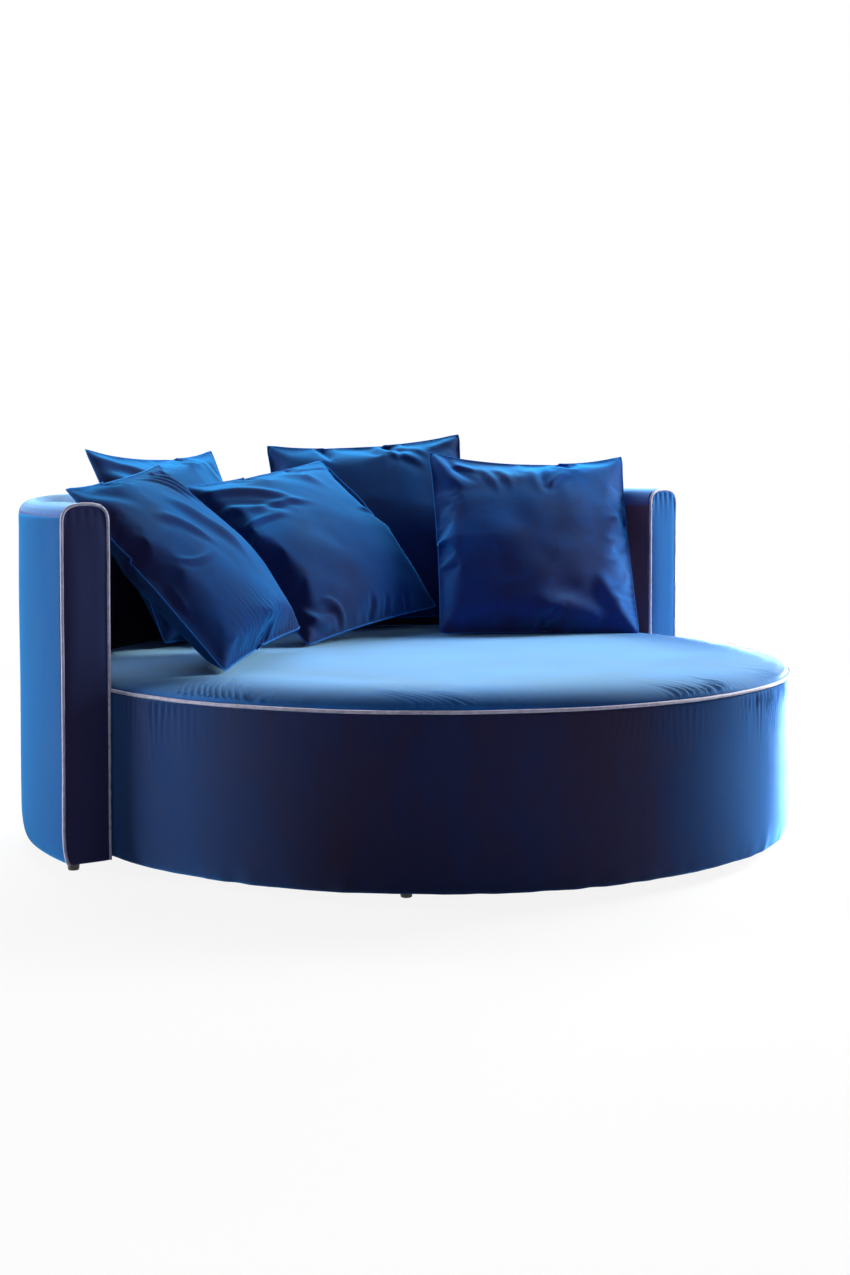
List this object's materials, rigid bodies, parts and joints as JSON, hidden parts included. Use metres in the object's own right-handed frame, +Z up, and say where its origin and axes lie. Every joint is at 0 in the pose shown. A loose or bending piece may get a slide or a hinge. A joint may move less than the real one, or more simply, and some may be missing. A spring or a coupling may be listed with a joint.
{
  "type": "round two-seater sofa",
  "caption": "Low round sofa: a drum seat upholstered in velvet, a padded back wrapping its rear half, and loose square cushions leaning on the back.",
  "frame": {"origin": "on the floor, at the middle of the bounding box seen from above", "axes": "+X to the right of a person facing the sofa, which is its longest way; +Y to the rear; the open front faces -Y; +Z up"},
  "size_m": [1.9532, 1.8409, 0.9575],
  "materials": {
    "velvet": "short-pile velvet with a strong sheen",
    "piping": "satin-covered cord",
    "foam": "open-cell upholstery foam",
    "filling": "fibre filling in a thin inner case",
    "plywood": "raw birch plywood",
    "webbing": "woven elastic webbing",
    "dust_cloth": "thin black non-woven cloth",
    "glide_plastic": "moulded, slightly worn",
    "plate_steel": "zinc-plated sheet"
  },
  "bodies": {
    "sofa": {"back_bottom_rail": "plywood", "back_end_board_left": "plywood", "back_end_board_right": "plywood", "back_end_cover_left": "velvet", "back_end_cover_right": "velvet", "back_end_piping_left": "piping", "back_end_piping_right": "piping", "back_glide_1": "glide_plastic", "back_glide_2": "glide_plastic", "back_glide_3": "glide_plastic", "back_glide_4": "glide_plastic", "back_inner_cover": "velvet", "back_inner_foam": "foam", "back_inner_skin": "plywood", "back_outer_cover": "velvet", "back_outer_foam": "foam", "back_outer_skin": "plywood", "back_post_1": "plywood", "back_post_2": "plywood", "back_post_3": "plywood", "back_roll_foam": "foam", "back_top_rail": "plywood", "base_bottom_plate": "plywood", "base_centre_beam": "plywood", "base_deck_ring": "plywood", "base_dust_cover": "dust_cloth", "base_glide_1": "glide_plastic", "base_glide_2": "glide_plastic", "base_glide_3": "glide_plastic", "base_glide_4": "glide_plastic", "base_glide_centre": "glide_plastic", "base_post_1": "plywood", "base_post_2": "plywood", "base_post_3": "plywood", "base_post_4": "plywood", "base_side_cover": "velvet", "base_side_foam": "foam", "base_skin": "plywood", "joining_plate_1": "plate_steel", "joining_plate_2": "plate_steel", "joining_plate_3": "plate_steel", "seat_cover": "velvet", "seat_foam": "foam", "seat_rim_piping": "piping", "seat_strap_1": "webbing", "seat_strap_2": "webbing", "seat_strap_3": "webbing", "seat_strap_4": "webbing", "seat_strap_5": "webbing", "seat_strap_6": "webbing"},
    "cushion_rear_left": {"cushion_rear_left_cover": "velvet", "cushion_rear_left_pad": "filling"},
    "cushion_rear_centre": {"cushion_rear_centre_cover": "velvet", "cushion_rear_centre_pad": "filling"},
    "cushion_right": {"cushion_right_cover": "velvet", "cushion_right_pad": "filling"},
    "cushion_centre": {"cushion_centre_cover": "velvet", "cushion_centre_pad": "filling"},
    "cushion_left": {"cushion_left_cover": "velvet", "cushion_left_pad": "filling"}
  },
  "joints": [
    {"name": "cushion_rear_left_lift", "type": "slide", "parent": "sofa", "child": "cushion_rear_left", "axis": [-0.117, 0.3214, 0.9397], "range_m": [0, 0.45]},
    {"name": "cushion_rear_centre_lift", "type": "slide", "parent": "sofa", "child": "cushion_rear_centre", "axis": [0.4696, 0.2133, 0.8567], "range_m": [0, 0.5]},
    {"name": "cushion_right_lift", "type": "slide", "parent": "sofa", "child": "cushion_right", "axis": [0, 0, 1], "range_m": [0, 0.45]},
    {"name": "cushion_centre_lift", "type": "slide", "parent": "sofa", "child": "cushion_centre", "axis": [0, 0, 1], "range_m": [0, 0.45]},
    {"name": "cushion_left_lift", "type": "slide", "parent": "sofa", "child": "cushion_left", "axis": [0, 0, 1], "range_m": [0, 0.45]}
  ]
}
